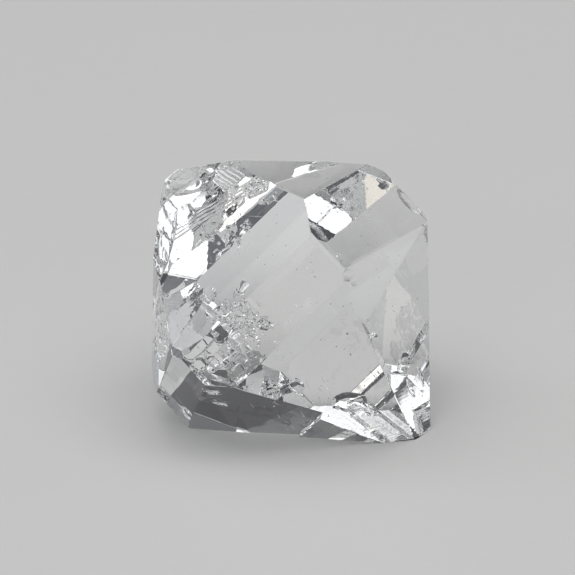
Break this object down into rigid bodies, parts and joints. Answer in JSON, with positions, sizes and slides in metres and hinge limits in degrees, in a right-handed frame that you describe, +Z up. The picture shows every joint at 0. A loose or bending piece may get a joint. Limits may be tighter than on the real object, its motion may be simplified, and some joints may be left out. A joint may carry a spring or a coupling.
{
  "type": "herkimer diamond",
  "caption": "Doubly terminated clear quartz crystal, short and stout, lying on a face of its lower point, with a broken upper tip and small chips.",
  "frame": {"origin": "middle of the bottom of the bounding box, on the surface that the crystal rests on", "axes": "+Z up out of the surface; -Y is the front, where the large front faces are; the long axis of the crystal rises back and to the left, from the lower point at front right to the broken upper point"},
  "size_m": [0.0152, 0.016, 0.0132],
  "materials": {
    "clear_quartz": "clear, bright crystal faces"
  },
  "bodies": {
    "root": {"quartz_crystal": "clear_quartz"}
  },
  "joints": []
}
